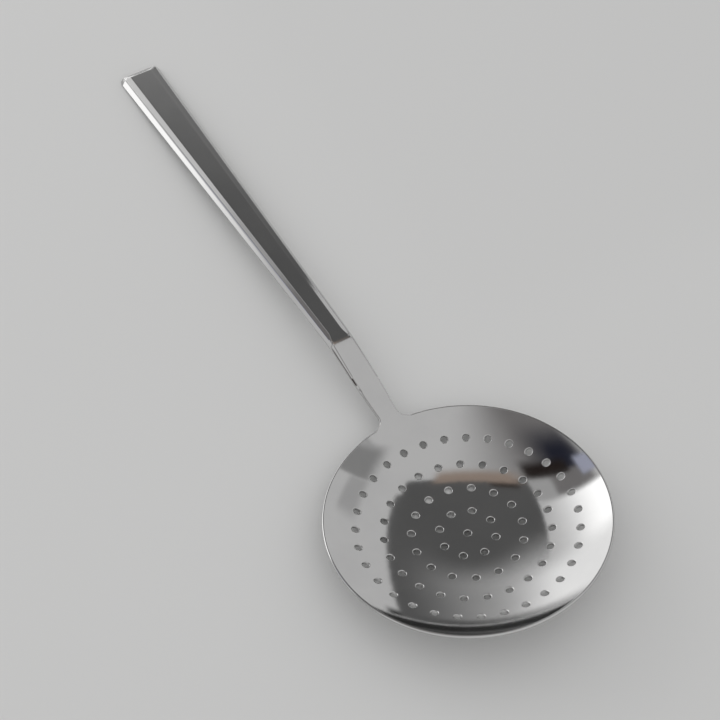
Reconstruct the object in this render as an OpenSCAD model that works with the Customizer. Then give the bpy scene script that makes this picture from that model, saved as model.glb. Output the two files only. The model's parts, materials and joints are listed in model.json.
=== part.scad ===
// Kitchen skimmer in one piece of steel: a shallow round dish with drain holes and a flat handle.
// Millimetres. X runs from the dish to the handle's end, Z is up, and the piece lies at rest on Z = 0.
// It is drawn with the dish's axis upright, and then tilted until dish and handle end touch the table.

/* [Dish] */
// Radius of the dish at its rim
dish_r = 60; // [50:0.5:70]
// Radius of the flat floor in the dish's middle
floor_r = 12; // [6:0.5:18]
// Radius of the wall's curve between floor and rim, on the inside
wall_arc_r = 97; // [90:0.5:130]
// Thickness of the sheet
sheet = 1.5; // [1:0.1:2]
// Radius of the rounding along the rim
rim_round = 0.8; // [0.55:0.05:1.1]

/* [Drain holes] */
// Diameter of each drain hole
hole_d = 3; // [1.5:0.1:4]
// Radius of the first ring of holes round the middle hole
ring_first_r = 11.8; // [8:0.1:12.5]
// Distance from one ring of holes to the next
ring_step = 11.5; // [8:0.1:12]
// Number of holes in the first ring
ring_1_holes = 8; // [4:1:9]
// Number of holes in the second ring
ring_2_holes = 15; // [8:1:17]
// Number of holes in the third ring
ring_3_holes = 23; // [12:1:25]
// Number of holes in the fourth ring
ring_4_holes = 31; // [16:1:34]
// Angle from the handle's line to the first ring's first hole
ring_1_turn = 3.5; // [0:0.1:45]
// Angle from the handle's line to the second ring's first hole
ring_2_turn = 11.7; // [0:0.1:24]
// Angle from the handle's line to the third ring's first hole
ring_3_turn = 4; // [0:0.1:15]
// Angle from the handle's line to the fourth ring's first hole
ring_4_turn = 3.1; // [0:0.1:11]

/* [Neck] */
// Slope of the neck against the dish's plane, in degrees
neck_slope = 17.2; // [14:0.2:20]
// Length of the neck along its slope, from the rim to the bend
neck_len = 41.4; // [34:0.5:46]
// Thickness of the neck at the rim
root_thick = 2; // [1.7:0.1:2.4]
// Width of the neck at its waist beside the rim
waist_w = 9.2; // [7.5:0.1:10.5]
// Distance from the dish's middle to the place where the waist ends
shoulder_x = 82; // [76:0.5:88]
// Width of the neck where the waist ends
shoulder_w = 11.1; // [9.5:0.1:12.5]
// Radius of the fillets between neck and rim, seen from above
root_fillet_r = 4.2; // [3:0.1:6]

/* [Handle] */
// Distance from the dish's middle to the handle's end, along the dish's plane
reach = 298.4; // [240:0.2:330]
// Slope of the handle's top against the dish's plane, in degrees
grip_slope = 4.7; // [4:0.1:6]
// Radius of the bend between neck and handle, on top
bend_r = 45; // [30:1:60]
// Thickness of the handle at the bend
bend_thick = 2.5; // [2.2:0.1:3]
// Thickness of the handle at its end
end_thick = 3.7; // [3.1:0.1:4.4]
// Width of the handle at its end, measured at the underside
end_w = 21; // [18.6:0.1:25]

/* [Side facets] */
// Fall of the steep facets along both sides of the handle and neck, in degrees
side_fall = 53; // [45:1:62]
// Width between the lines of the two side facets at the rim, wider than the waist so that they fade out
root_top_w = 11; // [10.4:0.1:12.8]
// Width between the two side facets at the bend
bend_top_w = 9.2; // [8:0.1:10.6]
// Width between the two side facets at the handle's end
end_top_w = 16; // [14.5:0.1:18.4]

/* [Bevels] */
// Fall of the two shallow bevels along the handle's top, in degrees
bevel_fall = 12; // [8:0.5:15]
// Width of the flat between the bevels at the bend
bend_flat_w = 5.9; // [4.5:0.1:7]
// Width of the flat between the bevels at the handle's end
end_flat_w = 11.1; // [9:0.1:13]
// Length of the bevel across the handle's end
end_bevel_len = 2.4; // [1.4:0.1:3.4]
// Fall of the bevel across the handle's end, in degrees
end_bevel_fall = 20; // [12:0.5:30]

/* [Hidden] */
steel = [0.72, 0.71, 0.70];
turn_steps = 180;
hole_steps = 32;
fine_steps = 360;
curve_steps = 12;
rings = [
  [ring_first_r, ring_1_holes, ring_1_turn],
  [ring_first_r + ring_step, ring_2_holes, ring_2_turn],
  [ring_first_r + 2 * ring_step, ring_3_holes, ring_3_turn],
  [ring_first_r + 3 * ring_step, ring_4_holes, ring_4_turn]
];

// The wall is the ring between two arcs with one centre, and the rim is a bead in its last slice
outer_arc_r = wall_arc_r + sheet;
mid_arc_r = wall_arc_r + sheet / 2;
rim_r = dish_r - rim_round;
rim_angle = asin((rim_r - floor_r) / mid_arc_r);
rim_z = outer_arc_r - mid_arc_r * cos(rim_angle);
rim_top = rim_z + rim_round;
clear_above = 1;
beyond = 1.1;

// Directions along and square to a line that rises by an angle
function along(a) = [cos(a), sin(a)];
function square_to(a) = [-sin(a), cos(a)];

// Corners of the handle's top line, as distance from the dish's middle and height
root_inset = 4.6;
root_lift = 0.15;
fillet_bite = 0.2;
root_point = [rim_r, rim_top + root_lift];
root_start = root_point - root_inset * along(neck_slope);
neck_end = root_point + neck_len * along(neck_slope);
bend_centre = neck_end - bend_r * square_to(neck_slope);
grip_start = bend_centre + bend_r * square_to(grip_slope);
grip_len = (reach - grip_start.x) / cos(grip_slope);
grip_end = grip_start + grip_len * along(grip_slope);

// Tilt at which the dish's outer arc and the lower edge of the handle's end touch one plane
heel = grip_end - end_thick * square_to(grip_slope);
heel_gap = norm(heel - [floor_r, outer_arc_r]);
heel_dip = atan2(heel.y - outer_arc_r, heel.x - floor_r);
tilt = heel_dip + asin(outer_arc_r / heel_gap);
drop = outer_arc_r * cos(tilt) - floor_r * sin(tilt) - outer_arc_r;

// Middle of the tilted piece's length, between the far side of the rim and the handle's end
end_face_top = grip_end - end_bevel_len * tan(end_bevel_fall) * square_to(grip_slope);
reach_x = end_face_top.x * cos(tilt) + end_face_top.y * sin(tilt);
rim_x = -rim_r * cos(tilt) + rim_z * sin(tilt) - rim_round;
middle_x = (reach_x + rim_x) / 2;

// Pie slice of a disc between two directions, counted from straight down towards +X
module slice(r, from, to) {
  intersection() {
    circle(r = r, $fn = fine_steps);
    polygon([
      [0, 0],
      beyond * r * [sin(from), -cos(from)],
      beyond * r * [sin(to), -cos(to)]
    ]);
  }
}

// Half section of the dish's outside: floor, wall and the round bead of the rim
module blank_section() {
  intersection() {
    union() {
      square([floor_r, rim_top]);
      translate([floor_r, outer_arc_r]) slice(outer_arc_r, 0, rim_angle);
    }
    square([dish_r, rim_top]);
  }
  translate([rim_r, rim_z]) circle(r = rim_round, $fn = fine_steps);
}

// Half section of the hollow, from the floor's top to just above the rim
module hollow_section() {
  translate([0, sheet]) square([floor_r, rim_top + clear_above - sheet]);
  intersection() {
    translate([floor_r, outer_arc_r]) circle(r = wall_arc_r, $fn = fine_steps);
    translate([floor_r, 0]) square([dish_r, rim_top + clear_above]);
  }
}

// Slope of the wall at a distance from the dish's middle, nothing on the flat floor
function wall_slope(r) = r > floor_r ? asin((r - floor_r) / mid_arc_r) : 0;

// One drain hole, punched square to the sheet at a distance from the dish's middle
module drain_hole(r) {
  slope = wall_slope(r);
  translate([min(r, floor_r), 0, outer_arc_r])
    rotate([0, -slope, 0])
      translate([0, 0, -outer_arc_r - clear_above])
        cylinder(d = hole_d, h = sheet + 2 * clear_above, $fn = hole_steps);
}

module drain_holes() {
  drain_hole(0);
  for (ring = rings)
    for (i = [0 : ring[1] - 1])
      rotate([0, 0, ring[2] + i * 360 / ring[1]]) drain_hole(ring[0]);
}

// Points along a curve round a centre, between two slopes, on the side where the radius is positive
function curve(centre, r, from, to) = [
  for (i = [0 : curve_steps]) centre + r * square_to(from + (to - from) * i / curve_steps)
];

// Side view of the handle: straight neck, bend and the long grip that thickens towards its end
module handle_side() {
  polygon(concat(
    [root_start],
    curve(bend_centre, bend_r, neck_slope, grip_slope),
    [grip_end, heel],
    curve(bend_centre, bend_r - bend_thick, grip_slope, neck_slope),
    [root_start - root_thick * square_to(neck_slope)]
  ));
}

// View of the handle from above: fillets at the rim, waist, shoulder and taper to the blunt end
module handle_plan() {
  waist = waist_w / 2;
  fillet_y = waist + root_fillet_r;
  touch_r = dish_r - fillet_bite;
  fillet_x = sqrt(pow(touch_r + root_fillet_r, 2) - pow(fillet_y, 2));
  touch = touch_r / (touch_r + root_fillet_r) * [fillet_x, fillet_y];
  overrun = 2;
  end_x = reach + overrun;
  end_y = end_w / 2;
  for (side = [-1, 1]) scale([1, side]) {
    difference() {
      polygon([
        [root_start.x - overrun, 0],
        [root_start.x - overrun, touch.y],
        touch,
        [fillet_x, fillet_y],
        [fillet_x, 0]
      ]);
      translate([fillet_x, fillet_y]) circle(r = root_fillet_r, $fn = fine_steps);
    }
    polygon([[fillet_x, 0], [fillet_x, waist], [shoulder_x, shoulder_w / 2], [end_x, end_y], [end_x, 0]]);
  }
}

// Everything above two planes that fall outwards from lines along the top, one on each side.
// The cuts begin a little before their lines, or later where that value is negative.
module slope_cuts(run, from_w, to_w, fall, before) {
  turn = atan((to_w - from_w) / 2 / run);
  aside = 30;
  for (side = [-1, 1]) scale([1, side, 1])
    translate([0, from_w / 2, 0]) rotate([0, 0, turn]) rotate([-fall, 0, 0])
      translate([-before, 0, 0]) cube([run + before + aside, aside, aside]);
}

// Shallow bevels, steep side facets and the short bevel across the end, cut from the top
module top_cuts() {
  over_neck = 30;
  clear_of_fillets = 9;
  translate([grip_start.x, 0, grip_start.y]) rotate([0, -grip_slope, 0]) {
    slope_cuts(grip_len, bend_flat_w, end_flat_w, bevel_fall, over_neck);
    slope_cuts(grip_len, bend_top_w, end_top_w, side_fall, over_neck);
    translate([grip_len - end_bevel_len, -end_w, 0])
      rotate([0, end_bevel_fall, 0]) cube([end_w, 2 * end_w, end_w]);
  }
  translate([root_point.x, 0, root_point.y]) rotate([0, -neck_slope, 0])
    slope_cuts(neck_len, root_top_w, bend_top_w, side_fall, -clear_of_fillets);
}

module handle() {
  tall = 2 * reach;
  difference() {
    intersection() {
      rotate([90, 0, 0]) linear_extrude(height = 2 * end_w, center = true) handle_side();
      linear_extrude(height = tall) handle_plan();
    }
    top_cuts();
  }
}

module skimmer() {
  color(steel)
    translate([-middle_x, 0, -drop]) rotate([0, tilt, 0])
      difference() {
        union() {
          rotate_extrude($fn = turn_steps) blank_section();
          handle();
        }
        rotate_extrude($fn = turn_steps) hollow_section();
        drain_holes();
      }
}

skimmer();
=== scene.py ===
# %% [markdown]
# # A steel skimmer, pressed in Blender as it is pressed in a workshop
#
# The real skimmer begins as a flat blank of stainless steel. Its drain holes are punched while
# the sheet is flat, its handle is forged thick and bevelled, and a press then gives the dish its
# hollow and the neck its bend. The same order works well in Blender: a flat mesh is easy to draw
# with clean rings of faces round every hole, and one formula then presses all of it into shape.

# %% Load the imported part
import json
from math import asin, atan, atan2, cos, pi, radians, sin, sqrt, tan

import bmesh
import bpy
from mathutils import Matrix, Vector

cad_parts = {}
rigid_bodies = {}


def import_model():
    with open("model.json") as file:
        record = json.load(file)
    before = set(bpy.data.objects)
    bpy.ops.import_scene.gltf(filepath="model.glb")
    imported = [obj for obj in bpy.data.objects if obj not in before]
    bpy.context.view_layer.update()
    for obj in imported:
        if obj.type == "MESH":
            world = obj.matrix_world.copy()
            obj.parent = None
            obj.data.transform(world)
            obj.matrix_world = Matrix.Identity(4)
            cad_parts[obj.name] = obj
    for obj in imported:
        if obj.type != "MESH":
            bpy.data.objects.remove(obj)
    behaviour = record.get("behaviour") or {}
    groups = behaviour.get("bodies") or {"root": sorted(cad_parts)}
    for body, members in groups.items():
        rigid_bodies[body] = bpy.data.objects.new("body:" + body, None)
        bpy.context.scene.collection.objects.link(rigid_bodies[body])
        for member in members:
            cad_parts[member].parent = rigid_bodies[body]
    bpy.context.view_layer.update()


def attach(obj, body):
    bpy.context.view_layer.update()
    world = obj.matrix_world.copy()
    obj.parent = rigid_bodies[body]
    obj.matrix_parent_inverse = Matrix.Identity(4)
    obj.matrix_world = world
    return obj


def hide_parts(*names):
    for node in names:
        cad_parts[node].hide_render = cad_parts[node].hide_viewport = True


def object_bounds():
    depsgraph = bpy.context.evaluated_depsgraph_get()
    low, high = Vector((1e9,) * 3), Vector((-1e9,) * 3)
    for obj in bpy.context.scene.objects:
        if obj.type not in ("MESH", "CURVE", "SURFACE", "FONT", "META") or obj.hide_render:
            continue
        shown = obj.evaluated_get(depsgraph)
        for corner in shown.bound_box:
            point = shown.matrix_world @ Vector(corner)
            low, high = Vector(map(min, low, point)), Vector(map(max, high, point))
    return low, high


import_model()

# %% [markdown]
# ## Sizes
#
# These are the sizes of the solid part, in metres, in the dish's own frame: X runs from the
# dish's middle along the handle, and Z is the dish's axis. Heights are counted from the floor's
# underside. Keeping the frame of the dish until the very end keeps every formula short, because
# the dish is then a shape turned about Z. The last step lays the finished piece on the table.

# %% Sizes of dish, holes and handle
MM = 0.001
SHEET = 1.5 * MM
FLOOR_R = 12 * MM
WALL_ARC_R = 97 * MM
BLANK_R = 59.48 * MM
HOLE_R = 1.5 * MM
RINGS = [
    (11.8 * MM, 8, radians(3.5)),
    (23.3 * MM, 15, radians(11.7)),
    (34.8 * MM, 23, radians(4.0)),
    (46.3 * MM, 31, radians(3.1)),
]
REACH = 298.4 * MM
NECK_SLOPE, GRIP_SLOPE = radians(17.2), radians(4.7)
ROOT_THICK, BEND_THICK, END_THICK = 2.0 * MM, 2.5 * MM, 3.7 * MM
WAIST, SHOULDER, SHOULDER_X, END_HALF = 4.6 * MM, 5.55 * MM, 82 * MM, 10.45 * MM
TILT = radians(8.11623)
MIDDLE_X, DROP = 121.963 * MM, -2.6808 * MM
OUTER_ARC_R = WALL_ARC_R + SHEET
print("holes:", 1 + sum(count for _, count, _ in RINGS))

# %% [markdown]
# ## Helpers for working by hand in code
#
# An operator works on what is selected, so every step here is the same three moves: pick the
# vertices or edges by where they are, run the operator, and look at what is selected afterwards.
# Three small functions do that. `edit` opens a mesh in edit mode, `pick` selects by a test on the
# place, and `new_points` gives the vertices that an operator has just made, so that they can be
# set exactly.

# %% Helpers: edit, pick and new points
def edit(thing):
    bpy.ops.object.select_all(action="DESELECT")
    bpy.context.view_layer.objects.active = thing
    thing.select_set(True)
    bpy.ops.object.mode_set(mode="EDIT")
    bpy.ops.mesh.select_mode(type="VERT")


def points(thing):
    return bmesh.from_edit_mesh(thing.data).verts


def pick(thing, test):
    bpy.ops.mesh.select_all(action="DESELECT")
    mesh = bmesh.from_edit_mesh(thing.data)
    for point in mesh.verts:
        point.select_set(bool(test(point.co)))
    mesh.select_flush_mode()
    mesh.select_flush(True)
    bmesh.update_edit_mesh(thing.data)


def new_points(thing, place):
    mesh = bmesh.from_edit_mesh(thing.data)
    for point in mesh.verts:
        if point.select:
            point.co = place(point.co)
    mesh.normal_update()
    bmesh.update_edit_mesh(thing.data)


def radius(co):
    return sqrt(co.x * co.x + co.y * co.y)


def on_circle(r, slack=0.02 * MM):
    return lambda co: abs(radius(co) - r) < slack


def polar(r, angle):
    return Vector((r * cos(angle), r * sin(angle), 0))


# %% [markdown]
# ## The sheet round one drain hole
#
# A round hole in a flat sheet shades badly when its edge is joined to the sheet by long thin
# faces. A cleaner way is a patch: a square ring of 24 points whose rings shrink step by step
# until the last is a true circle. The patch is bent to fit between two circles of the dish, so
# that copies of it, turned about the dish's axis, close up to a full band of holes. One patch is
# drawn per band, and Spin makes the copies.

# %% One patch with its hole, and its copies round the dish
PATCH_HALF = 4.9 * MM
SIDE = 6
STEPS_TO_HOLE = [0.42, 0.76]
SUPPORT = 0.62 * MM


def square_outline(i):
    side, step = divmod(i, SIDE)
    along = -1 + 2 * step / SIDE
    return [(along, -1), (1, along), (-along, 1), (-1, -along)][side]


def band_of_holes(blank, ring_r, count, turn):
    half_angle = pi / count
    middle = polar(ring_r, turn)
    bpy.ops.mesh.select_all(action="DESELECT")
    bpy.ops.mesh.primitive_circle_add(vertices=4 * SIDE, radius=PATCH_HALF, fill_type="NOTHING")

    def to_outline(co):
        out, along = square_outline(round(atan2(co.y, co.x) / (2 * pi) * 4 * SIDE) % (4 * SIDE))
        return polar(ring_r + PATCH_HALF * out, turn + half_angle * along)

    new_points(blank, to_outline)
    mesh = bmesh.from_edit_mesh(blank.data)
    outline = [point.co - middle for point in mesh.verts if point.select]
    for step in STEPS_TO_HOLE + ["support", "hole"]:
        bpy.ops.mesh.extrude_edges_move()

        def pull(co):
            arm = co - middle
            full = max(outline, key=lambda other: other.normalized().dot(arm.normalized())).length
            if step == "hole":
                length = HOLE_R
            elif step == "support":
                length = HOLE_R + SUPPORT
            else:
                length = full + (HOLE_R + SUPPORT - full) * step
            return middle + arm.normalized() * length

        new_points(blank, pull)
    bpy.ops.mesh.select_linked()
    copies = count - 1
    bpy.ops.mesh.spin(
        steps=copies, dupli=True, angle=2 * pi * copies / count, center=(0, 0, 0), axis=(0, 0, 1)
    )


bpy.ops.object.select_all(action="DESELECT")
bpy.ops.mesh.primitive_circle_add(vertices=24, radius=HOLE_R, fill_type="NOTHING")
skimmer = bpy.context.active_object
skimmer.name = skimmer.data.name = "skimmer_steel"
edit(skimmer)
for ring_r, count, turn in RINGS:
    band_of_holes(skimmer, ring_r, count, turn)
    bpy.ops.mesh.select_all(action="SELECT")
    bpy.ops.mesh.remove_doubles(threshold=0.01 * MM)
    print("band at", round(ring_r / MM, 1), "mm:", len(points(skimmer)), "points so far")

# %% [markdown]
# ## From bands to one blank
#
# Between two bands lies a narrow plain ring. The circles on its two sides have different numbers
# of points, because each band has twelve points round the dish for each hole. Bridge twists
# between such unequal circles, so Fill is used: it closes the ring with one zigzag row of
# triangles. The middle hole gets rings of its own first. Outside the last band the sheet runs on
# in plain rings to the edge, with closer rings near the edge, where the press turns it up.

# %% Join the middle hole, the bands and the outer rings
OUTER_COUNT = 228
OUTER_RINGS = [53.0 * MM, 54.8 * MM, 56.4 * MM, 57.6 * MM, 58.5 * MM, BLANK_R]


def pick_circles(thing, *radii):
    pick(thing, lambda co: any(on_circle(r)(co) for r in radii))


def grow_circle(thing, r):
    bpy.ops.mesh.extrude_edges_move()
    new_points(thing, lambda co: co.normalized() * r)


pick_circles(skimmer, HOLE_R)
for r in (HOLE_R + SUPPORT, 3.3 * MM, 4.9 * MM):
    grow_circle(skimmer, r)
pick_circles(skimmer, 4.9 * MM, RINGS[0][0] - PATCH_HALF)
bpy.ops.mesh.fill(use_beauty=True)
for (inner_r, _, _), (outer_r, _, _) in zip(RINGS, RINGS[1:]):
    pick_circles(skimmer, inner_r + PATCH_HALF, outer_r - PATCH_HALF)
    bpy.ops.mesh.fill(use_beauty=True)

bpy.ops.mesh.select_all(action="DESELECT")
bpy.ops.mesh.primitive_circle_add(vertices=OUTER_COUNT, radius=OUTER_RINGS[0], fill_type="NOTHING")
for r in OUTER_RINGS[1:]:
    grow_circle(skimmer, r)
pick_circles(skimmer, RINGS[-1][0] + PATCH_HALF, OUTER_RINGS[0])
bpy.ops.mesh.fill(use_beauty=True)
bpy.ops.mesh.select_all(action="SELECT")
bpy.ops.mesh.remove_doubles(threshold=0.01 * MM)
bpy.ops.mesh.normals_make_consistent(inside=False)
blank = bmesh.from_edit_mesh(skimmer.data)
print("round blank:", len(blank.verts), "points,", len(blank.faces), "faces")

# %% [markdown]
# ## The handle grows out of the edge
#
# The handle is drawn as a smith draws it out: from ten faces' width of the edge, row by row. The
# first rows follow the small fillets between edge and neck, then come a waist, a shoulder and the
# long taper. Rows stand close where the neck bends and where the end is bevelled, and far apart
# where the bar is straight. Across each row the points lie on the bar's own lines: the one where
# the top's flat meets the shallow bevel, and the one where the bevel meets the steep side facet,
# because an edge can only be crisp where points lie on it. So the line of the top is worked out
# first, from slopes and one bend, and the facets are planes that fall away from it.

# %% Line of the handle's top, worked out from slopes and one bend
def up_from(slope, length):
    return Vector((-sin(slope) * length, cos(slope) * length))


def along(slope, length):
    return Vector((cos(slope) * length, sin(slope) * length))


BEND_R = 45 * MM
NECK_START = Vector((59.2 * MM, 13.851 * MM))
NECK_LEN = 41.4 * MM
NECK_END = NECK_START + along(NECK_SLOPE, NECK_LEN)
BEND_CENTRE = NECK_END - up_from(NECK_SLOPE, BEND_R)
GRIP_START = BEND_CENTRE + up_from(GRIP_SLOPE, BEND_R)
GRIP_LEN = (REACH - GRIP_START.x) / cos(GRIP_SLOPE)
print("bend ends at", [round(v / MM, 2) for v in GRIP_START], "mm")


def handle_line(x):
    """Height, slope and thickness of the handle's middle line."""
    if x < NECK_END.x:
        share = (x - NECK_START.x) / (NECK_END.x - NECK_START.x)
        thick = ROOT_THICK + (BEND_THICK - ROOT_THICK) * share
        return NECK_START.y + (x - NECK_START.x) * tan(NECK_SLOPE), NECK_SLOPE, thick
    if x < GRIP_START.x:
        slope = asin((BEND_CENTRE.x - x) / BEND_R)
        return BEND_CENTRE.y + BEND_R * cos(slope), slope, BEND_THICK
    share = (x - GRIP_START.x) / (REACH - GRIP_START.x)
    thick = BEND_THICK + (END_THICK - BEND_THICK) * share
    return GRIP_START.y + (x - GRIP_START.x) * tan(GRIP_SLOPE), GRIP_SLOPE, thick


# %% Facets of the top, and the outline from above
ROW_HALF = 5
FILLET_R = 4.2 * MM
FILLET_Y = WAIST + FILLET_R
FILLET_X = sqrt((59.8 * MM + FILLET_R) ** 2 - FILLET_Y**2)
FILLET_ROWS = 6
CORNER_R = 1.4 * MM
BEVEL_FALL, SIDE_FALL = radians(12), radians(53)
END_BEVEL, END_BEVEL_FALL = 2.4 * MM, radians(20)
# Each facet: where its line begins, its slope and length, half the width at both ends, its fall,
# and how much more it falls near the bend
BEVEL = (GRIP_START, GRIP_SLOPE, GRIP_LEN, 2.95 * MM, 5.55 * MM, BEVEL_FALL, radians(5.5))
GRIP_SIDE = (GRIP_START, GRIP_SLOPE, GRIP_LEN, 4.6 * MM, 8.0 * MM, SIDE_FALL, 0)
NECK_SIDE = (NECK_START, NECK_SLOPE, NECK_LEN, 5.5 * MM, 4.6 * MM, SIDE_FALL, 0)
NECK_SIDE_FROM, NECK_SIDE_TO = 68 * MM, 112 * MM
EXTRA_LEN = 100 * MM
# Each facet keeps at least this width, so that no two points of a row meet
SIDE_LEAST, BEVEL_LEAST = 0.75 * MM, 1.0 * MM


def smooth(value, low, high):
    t = min(max((value - low) / (high - low), 0), 1)
    return t * t * (3 - 2 * t)


def facet_height(facet, x, y):
    """Height of a facet's plane over the place x, y."""
    begin, slope, length, half_from, half_to, fall, extra = facet
    far = (x - begin.x) / cos(slope)
    fall += extra * (1 - smooth(far, 0, EXTRA_LEN))
    turn = atan((half_to - half_from) / length)
    aside = (abs(y) - half_from) * cos(turn) - far * sin(turn)
    return begin.y + (x - begin.x) * tan(slope) - tan(fall) * aside / cos(slope)


def crossing(upper, lower, low_y, high_y):
    """The place across the bar where one surface passes under another."""
    for _ in range(30):
        middle = (low_y + high_y) / 2
        if lower(middle) < upper(middle):
            high_y = middle
        else:
            low_y = middle
    return high_y


def half_width(x):
    if x < SHOULDER_X:
        wide = WAIST + (SHOULDER - WAIST) * max(x - FILLET_X, 0) / (SHOULDER_X - FILLET_X)
    else:
        wide = SHOULDER + (END_HALF - SHOULDER) * (x - SHOULDER_X) / (REACH - SHOULDER_X)
    into_corner = x - (REACH - CORNER_R)
    if into_corner > 0:
        wide -= CORNER_R - sqrt(max(CORNER_R**2 - into_corner**2, 0))
    return wide


def row_places(x):
    """Places across: middle, flat, line of the bevel, bevel, line of the side facet, edge."""
    wide, line = half_width(x), handle_line(x)[0]

    def sides(y):
        neck_side = facet_height(NECK_SIDE, x, y) if x < NECK_SIDE_TO else line
        return min(facet_height(GRIP_SIDE, x, y), neck_side)

    side_at = crossing(lambda y: min(line, facet_height(BEVEL, x, y)), sides, 0, 20 * MM)
    side_at = min(side_at, wide - SIDE_LEAST)
    bevel_at = crossing(lambda y: line, lambda y: facet_height(BEVEL, x, y), 0, 60 * MM)
    bevel_at = min(bevel_at, side_at - BEVEL_LEAST)
    half = [0, bevel_at / 2, bevel_at, (bevel_at + side_at) / 2, side_at, wide]
    return [-y for y in half[:0:-1]] + half


NECK_ROWS = [66 + 1.8 * i for i in range(18)]
BEND_ROWS = [97.9 + 0.85 * i for i in range(14)]
GRIP_ROWS = [110.5, 113, 117, 122, 129] + [138 + 12.5 * i for i in range(13)]
END_ROWS = [293.6, 295.2, 296.01, 297.0, 297.5, 297.95, 298.25, 298.4]
print("rows along the handle:", FILLET_ROWS + len(NECK_ROWS + BEND_ROWS + GRIP_ROWS + END_ROWS))

# %% Draw the handle out, row by row
def is_root(co):
    widest = 2 * pi / OUTER_COUNT * (ROW_HALF + 0.4)
    return on_circle(BLANK_R)(co) and abs(atan2(co.y, co.x)) < widest


def next_row(places):
    bpy.ops.mesh.extrude_edges_move()
    mesh = bmesh.from_edit_mesh(skimmer.data)
    row = sorted((point for point in mesh.verts if point.select), key=lambda point: point.co.y)
    for point, (x, y) in zip(row, places):
        point.co = Vector((x, y, 0))
    mesh.normal_update()
    bmesh.update_edit_mesh(skimmer.data)


pick(skimmer, is_root)
for k in range(1, FILLET_ROWS + 1):
    turn = atan2(FILLET_Y, FILLET_X) + (pi / 2 - atan2(FILLET_Y, FILLET_X)) * k / FILLET_ROWS
    edge_x = FILLET_X - FILLET_R * cos(turn)
    edge_y = FILLET_Y - FILLET_R * sin(turn)
    middle_x = BLANK_R + (FILLET_X + 0.4 * MM - BLANK_R) * k / FILLET_ROWS
    across = [edge_y * i / ROW_HALF for i in range(-ROW_HALF, ROW_HALF + 1)]
    next_row([(edge_x + (middle_x - edge_x) * (1 - (y / edge_y) ** 2), y) for y in across])
for x in NECK_ROWS + BEND_ROWS + GRIP_ROWS + END_ROWS:
    next_row([(x * MM, y) for y in row_places(x * MM)])
bpy.ops.mesh.select_all(action="SELECT")
bpy.ops.mesh.normals_make_consistent(inside=False)
print("blank with handle:", len(points(skimmer)), "points")

# %% [markdown]
# ## Thickness
#
# Extruding the whole flat sheet downwards gives it an underside, the walls of all the holes and
# the wall of the outline in one step, and leaves a closed solid. For now the underside is a plain
# copy one millimetre below. The press sets the real thickness, which grows from the dish's sheet
# to the handle's end.

# %% Give the flat blank its underside
FLAT_STEP = 1 * MM
bpy.ops.mesh.select_all(action="SELECT")
bpy.ops.mesh.extrude_region_move(TRANSFORM_OT_translate={"value": (0, 0, -FLAT_STEP)})
bpy.ops.mesh.select_all(action="SELECT")
bpy.ops.mesh.normals_make_consistent(inside=False)
closed = bmesh.from_edit_mesh(skimmer.data)
print("open edges after thickening:", sum(1 for line in closed.edges if len(line.link_faces) != 2))

# %% [markdown]
# ## The press
#
# The press is one function from a place on the flat blank to a place in space. In the dish it
# follows the floor and then the arc of the wall, and the underside lies one sheet's thickness
# along the arc's own normal, so each hole stays square to the sheet, as a punch leaves it. Along
# the handle it follows the straight neck, the bend and the straight grip, lowered where the
# facets cut. Where dish and neck meet, the two rules are mixed smoothly, because the forged metal
# flows from one into the other with no line.

# %% The press itself
# Where dish and handle mix, from and to: along the handle, beside its line, and outside the rim
MIX_ALONG, MIX_ASIDE, MIX_OUTSIDE = (53 * MM, 64 * MM), (5 * MM, 15 * MM), (59 * MM, 64 * MM)


def top_height(x, y):
    """Height of the handle's top with its bevels and side facets."""
    lowest = min(handle_line(x)[0], facet_height(BEVEL, x, y), facet_height(GRIP_SIDE, x, y))
    if NECK_SIDE_FROM < x < NECK_SIDE_TO:
        lowest = min(lowest, facet_height(NECK_SIDE, x, y))
    far = (x - GRIP_START.x) / cos(GRIP_SLOPE)
    grip_line = GRIP_START.y + (x - GRIP_START.x) * tan(GRIP_SLOPE)
    return min(lowest, grip_line - tan(END_BEVEL_FALL) * (far - (GRIP_LEN - END_BEVEL)))


def pressed_dish(x, y):
    r = sqrt(x * x + y * y)
    slope = asin(min(max(r - FLOOR_R, 0) / WALL_ARC_R, 0.9))
    out = Vector((x, y, 0)).normalized() if r > 0 else Vector((1, 0, 0))
    top = Vector((x, y, OUTER_ARC_R - WALL_ARC_R * cos(slope)))
    return top, top - SHEET * (Vector((0, 0, cos(slope))) - out * sin(slope))


def pressed_handle(x, y):
    height, slope, thick = handle_line(x)
    top = Vector((x, y, top_height(x, y)))
    low = Vector((x, y, height)) - thick * Vector((-sin(slope), 0, cos(slope)))
    return top, low


def press(co):
    dish_top, dish_low = pressed_dish(co.x, co.y)
    share = smooth(co.x, *MIX_ALONG) * (1 - smooth(abs(co.y), *MIX_ASIDE))
    if radius(co) > BLANK_R + 0.3 * MM:
        share = max(share, smooth(co.x, *MIX_OUTSIDE))
    under = co.z < -FLAT_STEP / 2
    if share == 0:
        return dish_low if under else dish_top
    handle_top, handle_low = pressed_handle(co.x, co.y)
    if under:
        return dish_low.lerp(handle_low, share)
    return dish_top.lerp(handle_top, share)


bpy.ops.mesh.select_all(action="SELECT")
new_points(skimmer, press)
bpy.ops.mesh.normals_make_consistent(inside=False)
heights = [point.co.z / MM for point in points(skimmer)]
print("pressed heights, mm:", round(min(heights), 2), round(max(heights), 2))

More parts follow.
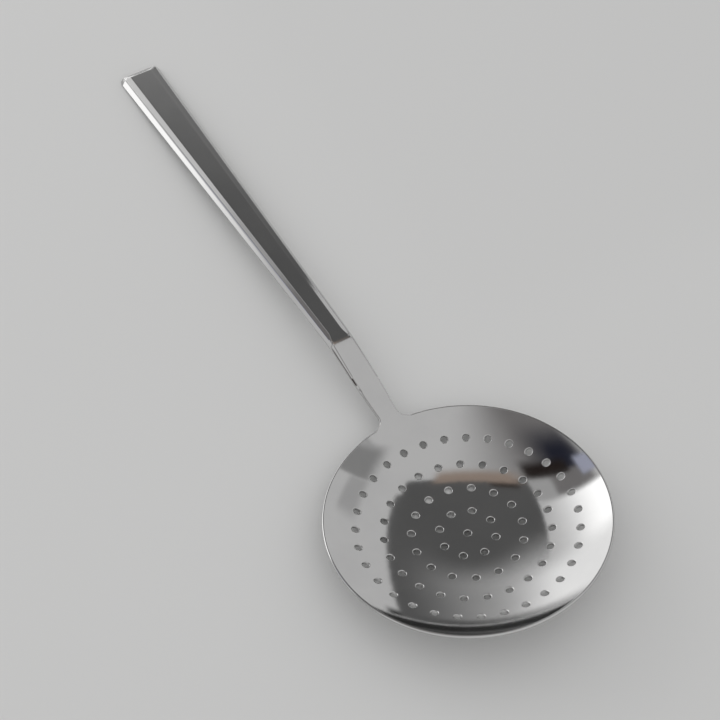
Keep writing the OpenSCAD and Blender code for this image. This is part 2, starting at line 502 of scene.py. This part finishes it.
# %% [markdown]
# ## Rounded edges
#
# No edge of the real piece is sharp. The rim is ground almost to a half circle, the punched holes
# have a soft lip that catches the light as a thin bright ring, and the bar's edges are only just
# broken. A bevel weight on each edge holds how wide its rounding is, as a share of the widest,
# and one Bevel modifier then makes all of them. The fold angle tells which edges those are. Close
# to the handle's end the roundings shrink, because a rounding that is wider than the short edges
# of the corners would throw points out of the shape.

# %% Mark the edges to round, each with its own width
ROUND_WIDEST = 0.72 * MM
HOLE_TOP_ROUND, HOLE_LOW_ROUND = 0.42 * MM, 0.28 * MM
NECK_ROUND, GRIP_ROUND, RIDGE_ROUND, BEVEL_ROUND = 0.6 * MM, 0.3 * MM, 0.5 * MM, 0.3 * MM
SHARP_FOLD, RIDGE_FOLD, LEAST_FOLD = radians(50), radians(28), radians(8)
HOLES_WITHIN, HANDLE_FROM = 52 * MM, 60 * MM
# Where the widths change, from and to along the handle
TO_NECK, TO_GRIP, TO_END = (58 * MM, 60 * MM), (90 * MM, 115 * MM), (294.4 * MM, 296.4 * MM)
TOP_EDGE_FADES, RIDGES_BEGIN = (72 * MM, 82 * MM), (74 * MM, 90 * MM)
END_SHARE = 0.4


def rounding(line):
    """Width of an edge's rounding, nothing for the edges that stay as they are."""
    fold = line.calc_face_angle(0)
    middle = (line.verts[0].co + line.verts[1].co) / 2
    highest = max(face.normal.z for face in line.link_faces)
    upper = highest > 0.5
    before_end = 1 - smooth(middle.x, *TO_END)
    if fold > SHARP_FOLD:
        if middle.x > HANDLE_FROM:
            wide = NECK_ROUND + (GRIP_ROUND - NECK_ROUND) * smooth(middle.x, *TO_GRIP)
            wide *= END_SHARE + (1 - END_SHARE) * before_end
            if upper and middle.x < 120 * MM:
                wide *= 1 - smooth(middle.x, *TOP_EDGE_FADES)
            return wide
        if radius(middle) < HOLES_WITHIN:
            return HOLE_TOP_ROUND if upper else HOLE_LOW_ROUND
        return ROUND_WIDEST + (NECK_ROUND - ROUND_WIDEST) * smooth(middle.x, *TO_NECK)
    if middle.x > RIDGES_BEGIN[0] and fold > LEAST_FOLD and highest > 0.45:
        begin = smooth(middle.x, *RIDGES_BEGIN)
        if fold > RIDGE_FOLD:
            return begin * before_end * (RIDGE_ROUND if highest > 0.8 else GRIP_ROUND * 0.7)
        across = abs(line.verts[0].co.x - line.verts[1].co.x) < 0.1 * MM
        return begin * BEVEL_ROUND * (0.6 if across else before_end)
    return 0


solid = bmesh.from_edit_mesh(skimmer.data)
solid.normal_update()
weight = solid.edges.layers.float.new("bevel_weight_edge")
marked = 0
for line in solid.edges:
    wide = rounding(line)
    if wide > 0.03 * MM:
        line[weight] = wide / ROUND_WIDEST
        marked += 1
bmesh.update_edit_mesh(skimmer.data)
bpy.ops.object.mode_set(mode="OBJECT")

bevel = skimmer.modifiers.new("soft edges", "BEVEL")
bevel.limit_method = "WEIGHT"
bevel.width = ROUND_WIDEST
bevel.segments = 3
bevel.use_clamp_overlap = False
bevel.harden_normals = True
bpy.ops.object.shade_smooth()
bpy.ops.object.modifier_apply(modifier=bevel.name)
print("edges rounded:", marked, "faces now:", len(skimmer.data.polygons))

# %% [markdown]
# ## Laid on the table
#
# At rest the piece touches the table with the round underside of its dish and with the lower edge
# of the handle's end, so the dish leans a little towards the handle. The finished mesh is turned
# by that lean and moved, and both are applied, so that the object's own origin stays where the
# solid part has it.

# %% Lay the piece at rest, and let it stand for the solid part
skimmer.rotation_euler.y = TILT
skimmer.location = (-MIDDLE_X, 0, -DROP)
bpy.ops.object.transform_apply(location=True, rotation=True, scale=True)
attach(skimmer, "root")
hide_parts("skimmer")
low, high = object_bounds()
print("skimmer lies from", [round(v, 4) for v in low], "to", [round(v, 4) for v in high])

# %% [markdown]
# ## Shader maths written as plain expressions
#
# A material is a sum of small patterns, and wiring dozens of Math nodes by hand hides what they
# say. The class below wraps the output of a node, so that adding or multiplying two of them in
# Python adds the Math node that does it. Any other kind of node comes from one method, `make`.

# %% A small class for node sockets
class Wire:
    def __init__(self, socket, tree):
        self.socket, self.tree = socket, tree

    def make(self, kind, settings=(), inputs=(), output=0):
        node = self.tree.nodes.new(kind)
        for name, value in dict(settings).items():
            setattr(node, name, value)
        for name, value in dict(inputs).items():
            if isinstance(value, Wire):
                self.tree.links.new(value.socket, node.inputs[name])
            else:
                node.inputs[name].default_value = value
        return Wire(node.outputs[output], self.tree)

    def maths(self, operation, *values):
        return self.make("ShaderNodeMath", {"operation": operation}, dict(enumerate(values)))

    def __add__(self, other):
        return self.maths("ADD", self, other)

    def __sub__(self, other):
        return self.maths("SUBTRACT", self, other)

    def __rsub__(self, other):
        return self.maths("SUBTRACT", other, self)

    def __mul__(self, other):
        return self.maths("MULTIPLY", self, other)

    __radd__, __rmul__ = __add__, __mul__

    def between(self, low, high):
        return self.make(
            "ShaderNodeMapRange",
            {"interpolation_type": "SMOOTHSTEP"},
            {"Value": self, "From Min": low, "From Max": high},
        )


def noise(start, vector, scale, detail, roughness):
    return start.make(
        "ShaderNodeTexNoise",
        {},
        {"Vector": vector, "Scale": scale, "Detail": detail, "Roughness": roughness},
    )


def stretched(start, x, y, z):
    return start.make("ShaderNodeCombineXYZ", {}, {"X": x, "Y": y, "Z": z})


# %% [markdown]
# ## Polished steel
#
# Stainless steel has no paint to colour it: what one sees is the room in it. What makes it look
# like steel and not like chrome is its finish. The dish was polished while it turned, which
# leaves hair-fine circles round its axis, and the bar was polished along its length. Both sets of
# hairlines are noise stretched two hundred times, and they move the roughness and, very slightly,
# the surface. A slow cloudy noise breaks the shine into the faint smears that every handled steel
# has. A Mapping node turns the pattern back into the dish's own frame, so that the circles run
# round the dish's axis.

# %% Steel for dish and handle
steel = bpy.data.materials.new("polished_steel")
steel.use_nodes = True
tree = steel.node_tree
shader = tree.nodes["Principled BSDF"]
start = Wire(tree.nodes.new("ShaderNodeTexCoord").outputs["Object"], tree)
dish_place = start.make(
    "ShaderNodeMapping",
    {"vector_type": "TEXTURE"},
    {"Vector": start, "Location": (-MIDDLE_X, 0, -DROP), "Rotation": (0, TILT, 0)},
)
split = dish_place.make("ShaderNodeSeparateXYZ", {}, {"Vector": dish_place}).socket.node.outputs
x, y, z = (Wire(split[name], tree) for name in "XYZ")
from_axis = (x * x + y * y).maths("POWER", x * x + y * y, 0.5)
on_handle = x.between(57 * MM, 63 * MM)

LINES_ACROSS, LINES_ALONG = 5200.0, 26.0
round_lines = stretched(start, from_axis * LINES_ACROSS, x * LINES_ALONG, y * LINES_ALONG)
circles = noise(start, round_lines, 1.0, 4.0, 0.7)
straight_lines = stretched(start, x * LINES_ALONG, y * LINES_ACROSS, z * LINES_ACROSS)
lengthwise = noise(start, straight_lines, 1.0, 4.0, 0.7)
hairlines = circles * (1 - on_handle) + lengthwise * on_handle
clouds = noise(start, dish_place, 38.0, 4.0, 0.6)
fine_clouds = noise(start, dish_place, 420.0, 3.0, 0.6)

rough = 0.035 + 0.03 * hairlines + 0.035 * clouds.between(0.35, 0.75) + 0.015 * fine_clouds
tree.links.new(rough.socket, shader.inputs["Roughness"])
tone = start.make(
    "ShaderNodeMix",
    {"data_type": "RGBA"},
    {0: clouds.between(0.3, 0.7), 6: (0.55, 0.548, 0.546, 1), 7: (0.585, 0.582, 0.578, 1)},
    output=2,
)
tree.links.new(tone.socket, shader.inputs["Base Color"])
shader.inputs["Metallic"].default_value = 1.0
relief = hairlines + 0.6 * clouds
ripple = start.make("ShaderNodeBump", {}, {"Strength": 0.05, "Distance": 0.00005, "Height": relief})
tree.links.new(ripple.socket, shader.inputs["Normal"])
skimmer.data.materials.clear()
skimmer.data.materials.append(steel)
print("steel nodes:", len(tree.nodes))

# %% [markdown]
# ## Floor and light
#
# Steel shows its surroundings, so the light is kept apart from what the steel mirrors. A plain
# pale floor and an evenly lit room give all sides their soft light, and one large lamp on the
# left gives the floor its shadow. The lamp is hidden from reflections, where it would be a hard
# white square. What the steel does mirror is made in the steps after this one.

# %% Pale floor
bpy.ops.object.select_all(action="DESELECT")
bpy.ops.mesh.primitive_plane_add(size=12, location=(0, 0, 0))
floor = bpy.context.object
floor.name = "pale_floor"
paint = bpy.data.materials.new("pale_floor")
paint.use_nodes = True
paint.node_tree.nodes["Principled BSDF"].inputs["Base Color"].default_value = (0.74, 0.74, 0.735, 1)
paint.node_tree.nodes["Principled BSDF"].inputs["Roughness"].default_value = 0.8
floor.data.materials.append(paint)

# %% Evenly lit room, and one large lamp on the left
world = bpy.data.worlds.new("light_room")
bpy.context.scene.world = world
world.use_nodes = True
world.node_tree.nodes["Background"].inputs["Color"].default_value = (0.69, 0.69, 0.69, 1)
world.node_tree.nodes["Background"].inputs["Strength"].default_value = 1.0


def direction(heading, height):
    """Unit vector from the object: the heading turns about Z, the height is over the table."""
    turn, lift = radians(heading), radians(height)
    return Vector((cos(turn) * cos(lift), sin(turn) * cos(lift), sin(lift)))


LAMP_WIDE, LAMP_TALL, LAMP_BRIGHTNESS = 1.7, 1.1, 0.9
lamp = bpy.data.lights.new("window", "AREA")
lamp.shape = "RECTANGLE"
lamp.size, lamp.size_y = LAMP_WIDE, LAMP_TALL
lamp.energy = LAMP_BRIGHTNESS * pi * LAMP_WIDE * LAMP_TALL
window = bpy.data.objects.new("window", lamp)
window.location = 1.8 * direction(28, 18)
window.rotation_euler = (-window.location).to_track_quat("-Z", "Y").to_euler()
window.visible_camera = window.visible_glossy = False
bpy.context.scene.collection.objects.link(window)
print("window power in watts:", round(lamp.energy, 1))

# %% [markdown]
# ## A card with soft edges
#
# In a light room polished steel turns white and loses its form, so a photographer hangs cards
# where the steel looks: dark ones that draw its shape, and bright ones that give it a shine. A
# card here is a plane that glows by itself. It is seen in reflections alone, and it neither
# lights the object nor shades it, so it can be moved without a change to anything else. Its
# material mixes the glow with a clear shader, and the mix falls off towards each of the four
# sides over a width of its own.

# %% One card
def panel(name, place, facing, width, tall, colour, fades):
    """A panel with soft edges; the fades say how wide the left, right, low and top edges are."""
    bpy.ops.mesh.primitive_plane_add(size=1, location=(0, 0, 0))
    sheet = bpy.context.object
    sheet.name = name
    sheet.scale = (width, tall, 1)
    bpy.ops.object.transform_apply(location=False, rotation=False, scale=True)
    sheet.location = place
    sheet.rotation_euler = (-facing).to_track_quat("Z", "Y").to_euler()
    cloth = bpy.data.materials.new(name)
    cloth.use_nodes = True
    nodes = cloth.node_tree.nodes
    nodes.remove(nodes["Principled BSDF"])
    spot = Wire(nodes.new("ShaderNodeTexCoord").outputs["Object"], cloth.node_tree)
    axes = spot.make("ShaderNodeSeparateXYZ", {}, {"Vector": spot}).socket.node.outputs
    x, y = Wire(axes["X"], cloth.node_tree), Wire(axes["Y"], cloth.node_tree)
    left, right, low, top = fades
    cover = (x + width / 2).between(0, left) * (width / 2 - x).between(0, right)
    cover = cover * (y + tall / 2).between(0, low) * (tall / 2 - y).between(0, top)
    glow = spot.make("ShaderNodeEmission", {}, {"Color": (*colour, 1), "Strength": 1.0})
    clear = spot.make("ShaderNodeBsdfTransparent")
    seen = spot.make("ShaderNodeMixShader", {}, {0: cover, 1: clear, 2: glow})
    cloth.node_tree.links.new(seen.socket, nodes["Material Output"].inputs["Surface"])
    sheet.data.materials.append(cloth)
    sheet.visible_camera = sheet.visible_diffuse = sheet.visible_shadow = False
    return sheet


def grey(value):
    return (value, value, value)


# %% [markdown]
# ## The cards
#
# Most cards hang on one wall that stands square to the direction in which the dish's middle and
# the handle's flat look. The wall is five metres off, many times the object's length, so a card
# lies in the same direction from the dish and from the far end of the handle, and its place can
# be read from the reflection that it has to make. Places and soft edges are given as on a wall
# one metre off and grow with the distance. A card nearer to the object covers those behind it.
#
# The steep facet along the handle's left side looks far to the left, almost level, so three cards
# stand there. The wall of the dish nearest the camera looks low over the table, where one dark
# card lies.

# %% Hang the cards
WALL_HEADING, WALL_HEIGHT = -33, 45
WALL_AHEAD, WALL_RIGHT = direction(WALL_HEADING, WALL_HEIGHT), direction(WALL_HEADING - 90, 0)


def wall_place(across, up, distance):
    """A point on a wall of cards: `across` to the picture's right and `up` away from the floor."""
    return distance * (WALL_AHEAD + across * WALL_RIGHT + up * WALL_RIGHT.cross(WALL_AHEAD))


# Name, distance, edges on the wall (left, right, low, top), colour, widths of the four soft edges
CARDS = [
    ("card_tan", 4.90, (-0.38, 0.10, 0.30, 0.47), (0.39, 0.31, 0.26), (0.14, 0.05, 0.03, 0.10)),
    ("card_brown_low", 4.91, (-0.31, -0.13, 0.265, 0.36),
     (0.05, 0.042, 0.038), (0.04, 0.04, 0.02, 0.02)),
    ("card_brown", 4.92, (-0.80, -0.33, 0.345, 0.57),
     (0.022, 0.016, 0.014), (0.07, 0.07, 0.03, 0.12)),
    ("card_ahead", 4.94, (-0.37, 0.235, -0.30, 0.36), grey(0.128), (0.02, 0.02, 0.32, 0.02)),
    ("card_low", 4.96, (-0.38, 0.27, -0.99, 0.25), grey(0.135), (0.62, 0.02, 0.01, 0.02)),
    ("card_step", 4.97, (-0.57, -0.30, 0.17, 0.36), grey(0.50), (0.06, 0.03, 0.02, 0.02)),
    ("card_far_edge", 4.98, (-0.60, 0.33, -0.99, -0.80), grey(0.04), (0.70, 0.03, 0.01, 0.14)),
    ("card_gap", 5.00, (-1.50, -0.85, 0.25, 0.53), (0.48, 0.50, 0.62), (0.10, 0.03, 0.05, 0.08)),
    ("card_blue", 5.02, (-1.15, -0.36, 0.36, 1.15),
     (0.020, 0.022, 0.036), (0.30, 0.36, 0.06, 0.55)),
    ("card_shade", 5.04, (-1.04, 0.10, 0.17, 2.20),
     (0.235, 0.226, 0.226), (0.12, 0.65, 0.03, 0.40)),
    ("card_grey", 5.06, (0.42, 0.90, 0.30, 0.75), grey(0.33), (0.15, 0.05, 0.02, 0.18)),
    ("card_grey_low", 5.08, (0.46, 0.70, -0.10, 0.31), grey(0.50), (0.08, 0.05, 0.15, 0.02)),
    ("card_bright_low", 5.10, (-1.30, -0.10, -0.98, -0.18), grey(1.25), (0.10, 0.35, 0.20, 0.25)),
    ("card_bright", 5.12, (-1.90, -0.30, -0.98, 0.17), grey(1.9), (0.20, 0.65, 0.10, 0.03)),
]
for name, distance, (left, right, low, top), colour, fades in CARDS:
    place = wall_place((left + right) / 2, (low + top) / 2, distance)
    width, tall = (right - left) * distance, (top - low) * distance
    soft = [distance * fade for fade in fades]
    panel(name, place, WALL_AHEAD, width, tall, colour, soft)

# Name, distance, heading and height, width and height of the card, colour, soft edges in metres
SIDE_CARDS = [
    ("card_side_dark", 3.0, (80, 20), (1.3, 1.1), (0.06, 0.05, 0.045), (0.3, 0.15, 0.1, 0.2)),
    ("card_side_high", 3.1, (65, 21), (0.7, 0.55), grey(1.1), (0.1, 0.3, 0.3, 0.3)),
    ("card_side_low", 3.2, (38, 4.5), (2.1, 0.46), grey(1.7), (0.5, 0.1, 0.01, 0.1)),
]
for name, distance, (heading, height), (width, tall), colour, fades in SIDE_CARDS:
    facing = direction(heading, height)
    panel(name, distance * facing, facing, width, tall, colour, fades)

TABLE_PLACE, TABLE_SOFT = Vector((0.62, -0.615, 0.002)), (0.05, 0.05, 0.05, 0.06)
panel("card_table", TABLE_PLACE, Vector((0, 0, -1)), 1.36, 1.17, grey(0.032), TABLE_SOFT)
print("cards:", len(CARDS) + len(SIDE_CARDS) + 1)

# %% [markdown]
# ## Camera
#
# The photograph was taken from above the handle's side, through a fairly long lens. The place and
# the angles were worked out from the outline of the round dish and the four corners of the
# handle's end.

# %% Camera at the photograph's angle
lens = bpy.data.cameras.new("photo_camera")
lens.lens, lens.sensor_width = 95.55, 36.0
lens.clip_start, lens.clip_end = 0.05, 50
camera = bpy.data.objects.new("photo_camera", lens)
camera.location = (-0.43338, 0.25842, 0.68906)
camera.rotation_euler = [radians(angle) for angle in (35.38417, -1.61636, -120.58004)]
bpy.context.scene.collection.objects.link(camera)
bpy.context.scene.camera = camera
bpy.context.scene.view_settings.view_transform = "Standard"
print("camera stands", round(camera.location.length, 3), "m from the object's middle")
